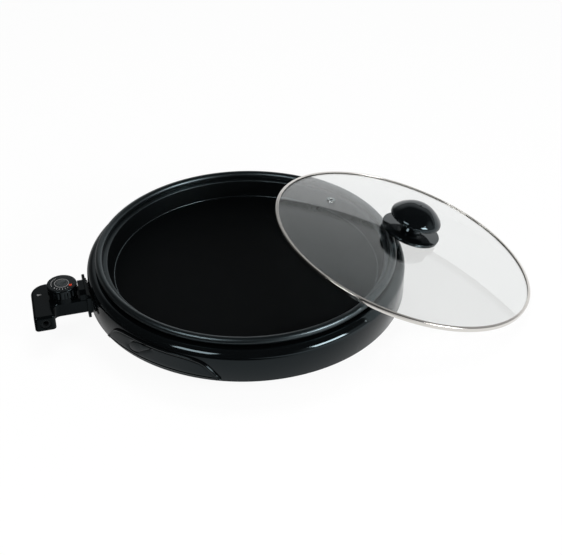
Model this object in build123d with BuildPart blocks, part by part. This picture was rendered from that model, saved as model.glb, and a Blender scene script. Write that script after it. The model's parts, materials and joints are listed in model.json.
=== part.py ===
"""Round electric griddle with a plug-in thermostat and a glass lid that leans on the pan's rim.

Millimetres. The origin is on the table under the middle of the pan and +Z is up.
The lid leans towards +X, the thermostat plugs in on the -X side and the front faces -Y.
"""
from build123d import *
import os
from math import atan2, cos, degrees, radians, sin, sqrt

os.makedirs("parts", exist_ok=True)

# Heights above the table
housing_low = 29.7  # lower edge of the housing wall
wall_high = 61.5  # where the straight wall turns into the shoulder
shoulder_high = 71.3  # top of the rounded shoulder
under_high = 47.0  # underside of the pan
floor_high = 51.3  # cooking surface
ledge_high = 74.0  # ledge that carries the lid
bead_high = 78.0  # middle of the rolled rim
cover_high = 18.0  # inside of the bottom cover
cover_thick = 2.0
shield_high = 34.5  # underside of the heat shield
element_high = 43.2  # middle of the heating tube, its pins and the sensing rod
leg_low = 2.5  # lower end of the legs, above the table

# Radii from the pan's axis
wall_r = 205.0
wall_thick = 2.3
bead_r = 188.5
bead_thick = 5.0
ledge_r = 178.4
floor_r = 171.0
element_r = 115.0
slot_r = 95.0
stud_r = 60.0
foot_r = 128.0

# Small round parts
boss_deep = 3.0  # stud bosses under the pan
tube_r = 3.3  # heating tube
tube_end = 182.0
pin_r = 2.2
rod_r = 2.75
sleeve_r = 3.8  # contact sleeve, outside
screw_r = 1.5

# Thermostat
inlet_turn = 196.0  # direction of the socket, seen from above
inlet_high = 44.6  # middle of the socket
pin_gap = 11.0  # each contact pin from the middle line
nose = 211.0  # inner end of the shells, behind the guard plate
guard_thick = 3.4
arm_left = -17.0
arm_right = 16.0
elbow_in = 254.0
elbow_out = 276.5
elbow_left = -32.0
elbow_right = 40.0
flare_in = 1.5  # the elbow widens towards the cord
flare_out = 2.6
shell_low = 31.5
split_high = 42.0  # joint between the two shells
shell_high = 52.5
shell_thick = 2.0
shell_screws_at = ((250, -11.5), (250, 10.5), (266, -19))
outlet_r = 3.8  # bore for the cord
outlet_long = 8.6
bush_r = 6.8
dial_out = 238.0  # dial axis from the pan's axis
dial_r = 18.7
dial_low = 58.8
dial_high = 71.0
shaft_r = 3.0

# Lid, in its own leaning frame
lid_r = 179.4
rim_r = 177.5  # edge of the glass
band_in = 175.5
lid_turn = 9.8  # direction the lid leans towards
lid_out = 211.3  # lid middle from the pan's axis
lid_tilt = 18.15
lid_high = 59.15  # lid middle above the table
dome_in = 849.0  # inner radius of the glass
glass_thick = 3.5
apex_in = 16.6  # inside of the glass above the middle of the band
vent_x = -94.9
vent_y = 63.15
vent_r = 4.0

# Carry handles
grip_in = 205.4
grip_out = 207.8
grip_turns = {"handle_front": 239.45, "handle_back": 59.45}
grip_screw_turn = 18.0  # screws to either side of the handle's middle
grip_screw_high = 40.0
lens_turn = -5.7  # finger opening from the handle's middle
pocket_r = 203.7  # bottom of the finger opening in the wall

inlet = Plane(
    origin=(0, 0, 0),
    x_dir=(cos(radians(inlet_turn)), sin(radians(inlet_turn)), 0),
    z_dir=(0, 0, 1),
)
pins_at = ((pin_gap, 0), (-pin_gap, 0))
leg_turns = [radians(turn) for turn in (45, 135, 225, 315)]
legs_at = [(0, 0)] + [(foot_r * cos(turn), foot_r * sin(turn)) for turn in leg_turns]
grip_screw_sides = (-grip_screw_turn, grip_screw_turn)
screw_turns = [turn + side for turn in grip_turns.values() for side in grip_screw_sides]


def wall_plane(turn, radius, height=0.0):
    """Plane that faces outward in this direction, x along the wall and y upwards."""
    way = Vector(cos(radians(turn)), sin(radians(turn)), 0)
    along = (-sin(radians(turn)), cos(radians(turn)), 0)
    return Plane(origin=way * radius + Vector(0, 0, height), x_dir=along, z_dir=way)


def facing_out(radius, height):
    """Plane square to the socket's axis."""
    return wall_plane(inlet_turn, radius, height)


def save(builder, name):
    """Labels a finished piece and writes it out."""
    builder.part.label = name
    export_step(builder.part, f"parts/{name}.step")


def pin_holes(radius):
    """Outline of the holes for the contact sleeves and the sensing rod in a wall."""
    with BuildSketch(facing_out(radius, element_high)) as holes:
        with Locations(*pins_at):
            Circle(sleeve_r + 0.1)
        Circle(rod_r + 0.1)
    return holes.sketch


def finger_lens(turn, radius):
    """Leaf-shaped outline of a handle's finger opening."""
    over = ((19, 57.2), (8, 58), (-4, 57), (-12.5, 53), (-18, 46.5))
    under = ((-18, 46.5), (-15.5, 41.6), (-10, 40.3), (-3, 42.3), (5, 48), (19, 57.2))
    with BuildSketch(wall_plane(turn + lens_turn, radius)) as lens:
        with BuildLine():
            Spline(*over, tangents=((-1, 0.25), (0, -1)))
            Spline(*under, tangents=((0, -1), (1, 0.6)))
        make_face()
    return lens.sketch


def shell_plan(plane, inset):
    """Bent outline of the thermostat from above, drawn in by the thickness of its wall."""
    corners = (
        (nose, arm_left),
        (elbow_in, arm_left),
        (elbow_in, elbow_left),
        (elbow_out, elbow_left),
        (elbow_out + flare_out, elbow_right),
        (elbow_in - flare_in, elbow_right),
        (elbow_in, arm_right),
        (nose, arm_right),
    )
    softness = ((2, 1.5), (3, 20), (4, 4.5), (5, 4.5), (6, 8))
    with BuildSketch(plane) as plan:
        with BuildLine():
            Polyline(*corners, close=True)
        make_face()
        for corner, radius in softness:
            fillet(vertices().sort_by_distance(corners[corner])[0], radius)
        if inset:
            offset(amount=-inset, kind=Kind.INTERSECTION, mode=Mode.REPLACE)
    return plan.sketch


def shell_spots(height):
    """Sketch plane locations of the three shell screws at this height."""
    return Locations(*[inlet.from_local_coords((x, y, height)) for x, y in shell_screws_at])


def outlet_plane(along):
    """Plane square to the cord outlet at this distance along the elbow."""
    spot = ((elbow_in + elbow_out) / 2, along, split_high)
    return Plane(origin=inlet.from_local_coords(spot), x_dir=inlet.x_dir, z_dir=inlet.y_dir)


# Pan: flat floor, sloping side, lid ledge and a rolled rim, with bosses below for the studs
with BuildPart() as griddle_pan:
    with BuildSketch(Plane.XZ):
        with BuildLine():
            Polyline(
                (0, floor_high),
                (floor_r, floor_high),
                (ledge_r, ledge_high),
                (bead_r, ledge_high),
                (bead_r, ledge_high - 3.5),
                (ledge_r + 3.2, ledge_high - 3.5),
                (floor_r + 4.2, under_high),
                (0, under_high),
                close=True,
            )
        make_face()
        fillet(vertices().sort_by_distance((floor_r, floor_high))[0], 4)
        fillet(vertices().sort_by_distance((ledge_r, ledge_high))[0], 1.5)
        fillet(vertices().sort_by_distance((floor_r + 4.2, under_high))[0], 5)
        with Locations((bead_r, bead_high)):
            Circle(bead_thick)
    revolve(axis=Axis.Z)
    with BuildSketch(Plane.XY.offset(under_high)):
        with PolarLocations(stud_r, 4):
            Circle(7)
    extrude(amount=-boss_deep)
save(griddle_pan, "griddle_pan")

# Heating tube: an open ring whose two cold ends run out to the socket
bend_r = 12.0
bend_x = sqrt((element_r + bend_r) ** 2 - (pin_gap + bend_r) ** 2)
bend_turn = degrees(atan2(pin_gap + bend_r, bend_x))
with BuildPart() as heating_element:
    with BuildLine(inlet.offset(element_high)):
        Line((tube_end, pin_gap), (bend_x, pin_gap))
        CenterArc((bend_x, pin_gap + bend_r), bend_r, 270, bend_turn - 90)
        CenterArc((0, 0), element_r, bend_turn, 360 - 2 * bend_turn)
        CenterArc((bend_x, -pin_gap - bend_r), bend_r, 180 - bend_turn, bend_turn - 90)
        Line((bend_x, -pin_gap), (tube_end, -pin_gap))
    with BuildSketch(facing_out(tube_end, element_high)):
        with Locations((pin_gap, 0)):
            Circle(tube_r)
    sweep()
save(heating_element, "heating_element")

# Contact pins on the ends of the heating tube
with BuildPart() as element_pins:
    with BuildSketch(facing_out(tube_end, element_high)):
        with Locations(*pins_at):
            Circle(pin_r)
    extrude(amount=17)
    chamfer(faces().sort_by(Axis(inlet.origin, inlet.x_dir))[-2:].edges(), 0.9)
save(element_pins, "element_pins")

# Clips that hold the heating tube against the pan: a flange above and a channel round the tube
clip_long = 14.0
clip_reach = 4.4
with BuildPart() as element_clips:
    with BuildSketch(inlet.offset(under_high - 0.9)):
        with PolarLocations(element_r, 3, start_angle=60):
            Rectangle(34, clip_long)
    extrude(amount=0.9)
    for half, mode in ((clip_reach, Mode.ADD), (clip_reach - 0.8, Mode.SUBTRACT)):
        with BuildSketch(inlet.offset(element_high - half)):
            with PolarLocations(element_r, 3, start_angle=60):
                Rectangle(2 * half, clip_long)
        extrude(amount=under_high - element_high + half, mode=mode)
save(element_clips, "element_clips")

# Sleeve under the pan that takes the sensing rod
sleeve_start = 135.0
with BuildPart() as probe_sleeve:
    with BuildSketch(facing_out(sleeve_start, element_high)):
        Circle(rod_r + 1)
    extrude(amount=46.5)
    with BuildSketch(facing_out(sleeve_start + 1, element_high)):
        Circle(rod_r + 0.3)
    extrude(amount=50, mode=Mode.SUBTRACT)
save(probe_sleeve, "probe_sleeve")

# Thin shield between the heating tube and the bottom cover
with BuildPart() as heat_shield:
    with BuildSketch(Plane.XY.offset(shield_high)):
        Circle(floor_r + 5)
        with PolarLocations(stud_r, 4):
            Circle(3.2, mode=Mode.SUBTRACT)
        with PolarLocations(stud_r / 2, 8, start_angle=22.5):
            Circle(4, mode=Mode.SUBTRACT)
    extrude(amount=0.8)
save(heat_shield, "heat_shield")

# Stepped studs that tie the pan to the bottom cover and carry the shield
with BuildPart() as pan_studs:
    for low, high, radius, mode in (
        (cover_high, shield_high, 5, Mode.ADD),
        (shield_high, under_high - boss_deep, 3, Mode.ADD),
        (cover_high, cover_high + 12, screw_r + 0.1, Mode.SUBTRACT),
    ):
        with BuildSketch(Plane.XY.offset(low)):
            with PolarLocations(stud_r, 4):
                Circle(radius)
        extrude(amount=high - low, mode=mode)
save(pan_studs, "pan_studs")

# Plastic housing: straight wall, rounded shoulder, shelf for the pan, foot lip for the cover
wall_in = wall_r - wall_thick
shelf_low = ledge_high - 6.2
shelf_high = ledge_high - 3.7
with BuildPart() as housing_ring:
    with BuildSketch(Plane.XZ):
        with BuildLine():
            Polyline((wall_in, housing_low), (wall_r + 0.3, housing_low), (wall_r, wall_high))
            ThreePointArc((wall_r, wall_high), (wall_r - 2.9, wall_high + 6.9), (wall_r - 10, shoulder_high))
            Polyline(
                (wall_r - 10, shoulder_high),
                (bead_r + 0.8, shoulder_high),
                (bead_r + 0.8, shelf_high),
                (bead_r - 4.5, shelf_high),
                (bead_r - 4.5, shelf_low),
                (wall_r - 10.4, shelf_low),
            )
            ThreePointArc(
                (wall_r - 10.4, shelf_low), (wall_r - 5, wall_high + 5.3), (wall_in - 0.3, wall_high)
            )
            Polyline(
                (wall_in - 0.3, wall_high),
                (wall_in, housing_low + 4),
                (wall_r - 9, housing_low + 4),
                (wall_r - 9, housing_low + 2.2),
                (wall_in, housing_low + 2.2),
                (wall_in, housing_low),
            )
        make_face()
    revolve(axis=Axis.Z)
    with BuildSketch(facing_out(185, inlet_high)):
        Rectangle(40.6, 16.6)
    extrude(amount=30, mode=Mode.SUBTRACT)
    for turn in screw_turns:
        with BuildSketch(wall_plane(turn, wall_r - 15, grip_screw_high)):
            Circle(screw_r + 0.2)
        extrude(amount=30, mode=Mode.SUBTRACT)
    for turn in grip_turns.values():
        extrude(finger_lens(turn, pocket_r), amount=20, mode=Mode.SUBTRACT)
save(housing_ring, "housing_ring")

# Bottom cover: shallow dish with vent slots, screw holes and holes for the legs' pegs
peg_r = 4.0
cover_low = cover_high - cover_thick
with BuildPart() as bottom_cover:
    with BuildSketch(Plane.XZ):
        with BuildLine():
            Polyline(
                (0, cover_high),
                (151, cover_high),
                (175, housing_low + cover_thick),
                (wall_in - 0.3, housing_low + cover_thick),
                (wall_in - 0.3, housing_low),
                (176, housing_low),
                (152, cover_low),
                (0, cover_low),
                close=True,
            )
        make_face()
    revolve(axis=Axis.Z)
    with BuildSketch(Plane.XY.offset(cover_low)):
        with PolarLocations(slot_r, 28):
            SlotOverall(30, 5)
        with PolarLocations(stud_r, 4):
            Circle(screw_r + 0.2)
        with Locations(*legs_at):
            Circle(peg_r)
    extrude(amount=cover_thick, mode=Mode.SUBTRACT)
save(bottom_cover, "bottom_cover")

# Legs: one under the middle and four round it, each with a peg in the cover and a seat for its pad
with BuildPart() as support_legs:
    for spot in legs_at:
        with BuildSketch(Plane.XY.offset(leg_low)):
            with Locations(spot):
                Circle(11)
        with BuildSketch(Plane.XY.offset(cover_low)):
            with Locations(spot):
                Circle(14)
        loft()
    with BuildSketch(Plane.XY.offset(cover_low)):
        with Locations(*legs_at):
            Circle(peg_r - 0.05)
    extrude(amount=cover_thick + 2)
    with BuildSketch(Plane.XY.offset(leg_low)):
        with Locations(*legs_at):
            Circle(8.7)
    extrude(amount=1.5, mode=Mode.SUBTRACT)
save(support_legs, "support_legs")

# Rubber pads under the legs
with BuildPart() as foot_pads:
    with BuildSketch():
        with Locations(*legs_at):
            Circle(8.5)
    extrude(amount=leg_low + 1.5)
save(foot_pads, "foot_pads")

# Screws that hold the bottom cover to the studs
head_high = 2.2
with BuildPart() as cover_screws:
    with BuildSketch(Plane.XY.offset(cover_low - head_high)):
        with PolarLocations(stud_r, 4):
            Circle(3.6)
    extrude(amount=head_high)
    with BuildSketch(Plane.XY.offset(cover_low - head_high)):
        with PolarLocations(stud_r, 4):
            Rectangle(4.6, 0.9)
            Rectangle(0.9, 4.6)
    extrude(amount=1.1, mode=Mode.SUBTRACT)
    with BuildSketch(Plane.XY.offset(cover_low)):
        with PolarLocations(stud_r, 4):
            Circle(screw_r)
    extrude(amount=12)
save(cover_screws, "cover_screws")

# Carry handles: arched panels on the wall with a finger opening
arch_side = (
    (23.5, 33.2),
    (21.9, 40.5),
    (20.4, 47.0),
    (18.8, 52.5),
    (17.0, 56.6),
    (14.2, 59.4),
    (10.5, 61.0),
    (5.0, 61.5),
)
arch = [(-turn, high) for turn, high in arch_side] + [(0, 61.6)] + list(reversed(arch_side))
arch_pts = [(grip_out * sin(radians(turn)), high) for turn, high in arch]
for name, turn in grip_turns.items():
    with BuildPart() as handle:
        with BuildSketch(Plane.XY.offset(housing_low)):
            Circle(grip_out)
            Circle(grip_in, mode=Mode.SUBTRACT)
        extrude(amount=32)
        with BuildSketch(wall_plane(turn, 0)):
            with BuildLine():
                Spline(*arch_pts)
                ThreePointArc(arch_pts[-1], (0, 35.0), arch_pts[0])
            make_face()
        extrude(amount=230, mode=Mode.INTERSECT)
        extrude(finger_lens(turn, 190), amount=40, mode=Mode.SUBTRACT)
        for side in grip_screw_sides:
            with BuildSketch(wall_plane(turn + side, 190, grip_screw_high)):
                Circle(screw_r + 0.05)
            extrude(amount=16.8, mode=Mode.SUBTRACT)
    save(handle, name)

# Screws that hold the handles, driven from inside the housing
with BuildPart() as handle_screws:
    for turn in screw_turns:
        for radius, long in ((3, 2.3), (screw_r, 6.6)):
            with BuildSketch(wall_plane(turn, 199.9, grip_screw_high)):
                Circle(radius)
            extrude(amount=long)
save(handle_screws, "handle_screws")

# Socket insert in the housing wall, round the contact pins
with BuildPart() as inlet_shroud:
    with BuildSketch(Plane.XY.offset(34)):
        Circle(wall_r + 1.7)
        Circle(wall_r + 0.5, mode=Mode.SUBTRACT)
    extrude(amount=22)
    with BuildSketch(facing_out(190, inlet_high)):
        RectangleRounded(47, 21, 3)
    extrude(amount=30, mode=Mode.INTERSECT)
    with BuildSketch(facing_out(183, inlet_high)):
        RectangleRounded(40, 16, 2)
    extrude(amount=23.3)
    with BuildSketch(facing_out(185, inlet_high)):
        RectangleRounded(36.4, 12.4, 1.2)
    extrude(amount=30, mode=Mode.SUBTRACT)
    with BuildSketch(facing_out(182.5, element_high)):
        with Locations(*pins_at):
            Circle(pin_r + 0.1)
        Circle(rod_r + 0.45)
    extrude(amount=3, mode=Mode.SUBTRACT)
save(inlet_shroud, "inlet_shroud")

# Thermostat lower shell with screw posts and sunk screw heads
with BuildPart() as shell_lower:
    extrude(shell_plan(inlet.offset(shell_low), 0), amount=split_high - shell_low)
    fillet(faces().sort_by(Axis.Z)[0].edges(), 1.6)
    extrude(shell_plan(inlet.offset(shell_low + shell_thick), shell_thick), amount=20, mode=Mode.SUBTRACT)
    for low, radius, long, mode in (
        (shell_low + 1, 3.4, split_high - shell_low - 1, Mode.ADD),
        (shell_low, screw_r + 0.05, 20, Mode.SUBTRACT),
        (shell_low, 2.9, 2.5, Mode.SUBTRACT),
    ):
        with shell_spots(low):
            Cylinder(radius, long, align=(Align.CENTER, Align.CENTER, Align.MIN), mode=mode)
    extrude(pin_holes(nose - 1), amount=shell_thick + 2, mode=Mode.SUBTRACT)
    with BuildSketch(outlet_plane(elbow_right - 6)):
        Circle(bush_r + 0.1)
    extrude(amount=10, mode=Mode.SUBTRACT)
save(shell_lower, "shell_lower")

# Thermostat upper shell with the raised seat of the dial and a hump behind the guard
roof_deep = shell_high - split_high - shell_thick
with BuildPart() as shell_upper:
    extrude(shell_plan(inlet.offset(split_high), 0), amount=shell_high - split_high)
    fillet(faces().sort_by(Axis.Z)[-1].edges(), 3.2)
    extrude(shell_plan(inlet.offset(split_high), shell_thick), amount=roof_deep, mode=Mode.SUBTRACT)
    with BuildSketch(facing_out(nose, shell_high)):
        with Locations((0, 4.5)):
            Rectangle(31, 13)
        fillet(vertices().group_by(Axis.Y)[-1], 6)
    extrude(amount=7.2)
    with BuildSketch(inlet.offset(split_high)):
        with Locations((nose + 5, 0)):
            Rectangle(6, 27)
    extrude(amount=roof_deep, mode=Mode.SUBTRACT)
    with BuildSketch(inlet.offset(shell_high - shell_thick)):
        with Locations((dial_out, 0)):
            Circle(17.2)
    extrude(amount=8)
    for radius, long, mode in ((3.4, roof_deep + 1, Mode.ADD), (screw_r + 0.05, 7, Mode.SUBTRACT)):
        with shell_spots(split_high):
            Cylinder(radius, long, align=(Align.CENTER, Align.CENTER, Align.MIN), mode=mode)
    with BuildSketch(inlet.offset(split_high)):
        with Locations((dial_out, 0)):
            Circle(shaft_r + 0.08)
    extrude(amount=30, mode=Mode.SUBTRACT)
    extrude(pin_holes(nose - 1), amount=shell_thick + 2, mode=Mode.SUBTRACT)
    with BuildSketch(outlet_plane(elbow_right - 6)):
        Circle(bush_r + 0.1)
    extrude(amount=10, mode=Mode.SUBTRACT)
save(shell_upper, "shell_upper")

# Screws that close the thermostat's shells
head_low = shell_low + 0.6
with BuildPart() as shell_screws:
    with shell_spots(head_low):
        Cylinder(2.7, 1.9, align=(Align.CENTER, Align.CENTER, Align.MIN))
        Cylinder(screw_r - 0.05, 15.9, align=(Align.CENTER, Align.CENTER, Align.MIN))
        Box(3.6, 0.8, 0.9, align=(Align.CENTER, Align.CENTER, Align.MIN), mode=Mode.SUBTRACT)
        Box(0.8, 3.6, 0.9, align=(Align.CENTER, Align.CENTER, Align.MIN), mode=Mode.SUBTRACT)
save(shell_screws, "shell_screws")

# Guard plate between the thermostat and the housing, with a collar that follows the wall
guard_high = 46.0
plate_in = nose - guard_thick
with BuildPart() as guard_plate:
    with BuildSketch(facing_out(plate_in, guard_high)):
        RectangleRounded(53, 34, 4)
    extrude(amount=guard_thick)
    fillet(faces().sort_by(Axis(inlet.origin, inlet.x_dir))[-1].edges(), 0.8)
    with BuildSketch(facing_out(195, guard_high)):
        RectangleRounded(45, 26, 3)
        RectangleRounded(41.6, 22.6, 1.3, mode=Mode.SUBTRACT)
    extrude(amount=plate_in - 195)
    Cylinder(wall_r + 1.9, 200, mode=Mode.SUBTRACT)
    extrude(pin_holes(plate_in - 0.5), amount=guard_thick + 1, mode=Mode.SUBTRACT)
save(guard_plate, "guard_plate")

# Ceramic block that carries the sensing rod and the contact sleeves
block_in = nose + 2.4
with BuildPart() as thermostat_block:
    with BuildSketch(facing_out(block_in, element_high)):
        with Locations((-0.5, 0)):
            RectangleRounded(27, 11, 1)
    extrude(amount=13.6)
    with BuildSketch(facing_out(nose, element_high)):
        Circle(rod_r + 0.05)
    extrude(amount=20, mode=Mode.SUBTRACT)
save(thermostat_block, "thermostat_block")

# Contact sleeves that slip over the pins
sleeve_tip = 187.5
with BuildPart() as contact_sleeves:
    with BuildSketch(facing_out(sleeve_tip, element_high)):
        with Locations(*pins_at):
            Circle(sleeve_r)
            Circle(pin_r + 0.3, mode=Mode.SUBTRACT)
    extrude(amount=block_in - sleeve_tip)
save(contact_sleeves, "contact_sleeves")

# Sensing rod
rod_tip = 137.5
with BuildPart() as probe_rod:
    with BuildSketch(facing_out(rod_tip, element_high)):
        Circle(rod_r)
    extrude(amount=92)
    fillet(faces().sort_by(Axis(inlet.origin, inlet.x_dir))[0].edges(), 1.8)
save(probe_rod, "probe_rod")

# Bimetal blade that the dial's cam bends
with BuildPart() as bimetal_blade:
    with BuildSketch(inlet.offset(element_high + 2.9)):
        with Locations((nose + 20, 7)):
            Rectangle(8, 5)
    extrude(amount=0.6)
save(bimetal_blade, "bimetal_blade")

# Bush in the cord outlet
outlet_end = elbow_right - 1.4
with BuildPart() as cord_bush:
    for along, radius, long, mode in (
        (outlet_end, bush_r, outlet_long, Mode.ADD),
        (elbow_right - shell_thick - 0.2, bush_r + 1.2, 3.4, Mode.ADD),
        (outlet_end, outlet_r, 20, Mode.SUBTRACT),
    ):
        with BuildSketch(outlet_plane(along)):
            Circle(radius)
        extrude(amount=-long, mode=mode)
save(cord_bush, "cord_bush")

# Dial: fluted drum with a low grip bar and a raised ring
drum_high = dial_high - dial_low
dial_mid = inlet.from_local_coords((dial_out, 0, dial_low))
dial_plane = Plane(origin=dial_mid, x_dir=inlet.x_dir, z_dir=(0, 0, 1))
with BuildPart() as dial:
    with BuildSketch(dial_plane):
        Circle(dial_r)
    extrude(amount=drum_high)
    fillet(faces().sort_by(Axis.Z)[-1].edges(), 1.4)
    with BuildSketch(dial_plane):
        Circle(dial_r - 2)
        Circle(6.5, mode=Mode.SUBTRACT)
    extrude(amount=drum_high - 2.6, mode=Mode.SUBTRACT)
    with BuildSketch(dial_plane):
        with PolarLocations(dial_r + 0.5, 20):
            Circle(1.1)
    extrude(amount=drum_high - 3, mode=Mode.SUBTRACT)
    with BuildSketch(dial_plane.offset(drum_high)):
        Circle(9.6)
        Circle(8.8, mode=Mode.SUBTRACT)
    extrude(amount=0.5)
    with BuildSketch(dial_plane.offset(drum_high)):
        with Locations(Location((0, 0), 35)):
            SlotOverall(15, 4.2)
    extrude(amount=2)
    with BuildSketch(dial_plane):
        Circle(shaft_r)
    extrude(amount=8, mode=Mode.SUBTRACT)
save(dial, "dial")

# Shaft under the dial with the cam on its lower end
with BuildPart() as dial_shaft:
    with BuildSketch(inlet.offset(46)):
        with Locations((dial_out, 0)):
            Circle(shaft_r)
    extrude(amount=20.8)
    with BuildSketch(inlet.offset(47)):
        with Locations((dial_out - 1.2, 0)):
            Circle(6.6)
    extrude(amount=2.8)
save(dial_shaft, "dial_shaft")

# Leaning frame of the lid: side goes down the slope, up is square to the band
side = Vector(
    cos(radians(lid_turn)) * cos(radians(lid_tilt)),
    sin(radians(lid_turn)) * cos(radians(lid_tilt)),
    -sin(radians(lid_tilt)),
)
along = Vector(-sin(radians(lid_turn)), cos(radians(lid_turn)), 0)
upright = side.cross(along)
lid_mid = (lid_out * cos(radians(lid_turn)), lid_out * sin(radians(lid_turn)), lid_high)
lid_plan = Plane(origin=lid_mid, x_dir=side, z_dir=upright)
lid_cut = Plane(origin=lid_mid, x_dir=side, z_dir=along * -1)
lid_axis = Axis(lid_mid, upright)
dome_mid = apex_in - dome_in
dome_out = dome_in + glass_thick
apex_out = apex_in + glass_thick
vent_up = sqrt(dome_out**2 - vent_x**2 - vent_y**2)
vent_way = side * vent_x + along * vent_y + upright * vent_up
vent = Plane(
    origin=lid_plan.from_local_coords((vent_x, vent_y, vent_up + dome_mid)), x_dir=along, z_dir=vent_way
)


def dome(radius, reach):
    """Height of a dome surface of this radius at this distance from the lid's middle."""
    return sqrt(radius**2 - reach**2) + dome_mid


# Domed glass with holes for the knob's screw and the steam vent
with BuildPart() as lid_glass:
    with BuildSketch(lid_cut):
        with BuildLine():
            ThreePointArc(*[(reach, dome(dome_out, reach)) for reach in (0, 90, rim_r)])
            Line((rim_r, dome(dome_out, rim_r)), (rim_r, dome(dome_in, rim_r)))
            ThreePointArc(*[(reach, dome(dome_in, reach)) for reach in (rim_r, 90, 0)])
            Line((0, apex_in), (0, apex_out))
        make_face()
    revolve(axis=lid_axis)
    with BuildSketch(lid_plan):
        Circle(3)
    extrude(amount=30, mode=Mode.SUBTRACT)
    with BuildSketch(vent.offset(5)):
        Circle(vent_r)
    extrude(amount=-15, mode=Mode.SUBTRACT)
save(lid_glass, "lid_glass")

# Rolled steel band round the glass
with BuildPart() as lid_band:
    with BuildSketch(lid_cut):
        with BuildLine():
            Polyline(
                (band_in, 2.5),
                (rim_r + 0.6, 1.9),
                (rim_r + 0.6, -2.3),
                (band_in, -2.2),
                (band_in, -3.0),
                (lid_r - 0.9, -3.1),
                (lid_r, -2.2),
                (lid_r, 1.9),
                (lid_r - 1.1, 3.0),
                (band_in, 3.3),
                close=True,
            )
        make_face()
    revolve(axis=lid_axis)
save(lid_band, "lid_band")

# Steel eyelet of the steam vent: two flanges and a tube through the glass
eyelet_gap = 0.15
flange_thick = 0.8
eyelet_low = -glass_thick - eyelet_gap - flange_thick
with BuildPart() as vent_eyelet:
    for low, radius, long in (
        (eyelet_gap, 5.6, flange_thick),
        (eyelet_low, 5.6, flange_thick),
        (eyelet_low, vent_r - 0.2, eyelet_gap + flange_thick - eyelet_low),
    ):
        with BuildSketch(vent.offset(low)):
            Circle(radius)
        extrude(amount=long)
    with BuildSketch(vent.offset(eyelet_low - 1)):
        Circle(2.4)
    extrude(amount=10, mode=Mode.SUBTRACT)
save(vent_eyelet, "vent_eyelet")

# Silicone gasket between the knob and the glass
gasket_thick = 0.8
with BuildPart() as knob_gasket:
    with BuildSketch(lid_plan.offset(apex_out)):
        Circle(14)
        Circle(3, mode=Mode.SUBTRACT)
    extrude(amount=gasket_thick)
save(knob_gasket, "knob_gasket")

# Wide finger guard under the knob: a shallow dish with a thin rounded edge
bore_r = 2.2
base_low = apex_out + gasket_thick
base_high = 27.6
disc_r = 39.4
with BuildPart() as knob_base:
    with BuildSketch(lid_cut):
        with BuildLine():
            Polyline((38.9, 27), (17, 27), (15, base_high), (bore_r, base_high))
            Polyline((bore_r, base_high), (bore_r, base_low), (16, base_low))
            Spline((16, base_low), (29, 21.5), (38.3, 22.4))
            ThreePointArc((38.3, 22.4), (38.65, 22.55), (38.86, 22.9))
            Line((38.86, 22.9), (disc_r, 26.5))
            ThreePointArc((disc_r, 26.5), (disc_r - 0.13, 26.86), (38.9, 27))
        make_face()
    revolve(axis=lid_axis)
save(knob_base, "knob_base")

# Mushroom knob: a high dome over a short bulging side
knob_high = 64.2
with BuildPart() as knob_cap:
    with BuildSketch(lid_cut):
        with BuildLine():
            Polyline((0, 43), (bore_r, 43), (bore_r, base_high), (13.5, base_high))
            Spline((13.5, base_high), (11.6, 33), (14.5, 38), (24, 40.8), (32.4, 41.8))
            ThreePointArc((32.4, 41.8), (33.6, 42.1), (34.2, 43))
            ThreePointArc((34.2, 43), (33.9, 46.6), (32.2, 49.5))
            Spline((32.2, 49.5), (29, 52.9), (24, 57), (17, 61.2), (9, 63.6), (0, knob_high))
            Line((0, knob_high), (0, 43))
        make_face()
    revolve(axis=lid_axis)
save(knob_cap, "knob_cap")

# Steel washer inside the glass
washer_low = apex_in - 1.5
with BuildPart() as knob_washer:
    with BuildSketch(lid_plan.offset(washer_low)):
        Circle(11)
        Circle(2.4, mode=Mode.SUBTRACT)
    extrude(amount=1.2)
save(knob_washer, "knob_washer")

# Screw that holds the knob
screw_head = 3.0
with BuildPart() as knob_screw:
    with BuildSketch(lid_plan.offset(washer_low - screw_head)):
        Circle(4.6)
    extrude(amount=screw_head)
    with BuildSketch(lid_plan.offset(washer_low - screw_head)):
        Rectangle(6, 1)
        Rectangle(1, 6)
    extrude(amount=1.4, mode=Mode.SUBTRACT)
    with BuildSketch(lid_plan.offset(washer_low)):
        Circle(2)
    extrude(amount=26)
save(knob_screw, "knob_screw")
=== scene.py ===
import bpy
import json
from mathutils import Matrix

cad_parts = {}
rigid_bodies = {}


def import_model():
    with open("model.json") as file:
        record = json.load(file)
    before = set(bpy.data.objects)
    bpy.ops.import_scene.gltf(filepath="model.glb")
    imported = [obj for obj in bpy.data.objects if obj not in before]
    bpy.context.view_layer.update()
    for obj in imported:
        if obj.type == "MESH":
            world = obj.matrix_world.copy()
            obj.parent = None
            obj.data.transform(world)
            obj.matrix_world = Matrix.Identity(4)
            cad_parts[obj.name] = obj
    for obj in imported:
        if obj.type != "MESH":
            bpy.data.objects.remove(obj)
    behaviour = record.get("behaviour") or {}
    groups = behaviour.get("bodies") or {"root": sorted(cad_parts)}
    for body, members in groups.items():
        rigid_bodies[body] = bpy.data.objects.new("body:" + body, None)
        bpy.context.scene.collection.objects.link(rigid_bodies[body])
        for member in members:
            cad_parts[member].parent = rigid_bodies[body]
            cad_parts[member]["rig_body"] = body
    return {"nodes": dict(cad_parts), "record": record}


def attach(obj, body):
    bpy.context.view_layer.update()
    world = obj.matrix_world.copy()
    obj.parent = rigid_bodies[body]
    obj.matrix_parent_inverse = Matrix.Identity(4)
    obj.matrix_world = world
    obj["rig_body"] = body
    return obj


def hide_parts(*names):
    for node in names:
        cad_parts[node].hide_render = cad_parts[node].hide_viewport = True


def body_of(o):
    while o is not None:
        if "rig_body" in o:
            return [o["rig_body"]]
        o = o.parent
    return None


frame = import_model()

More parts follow.
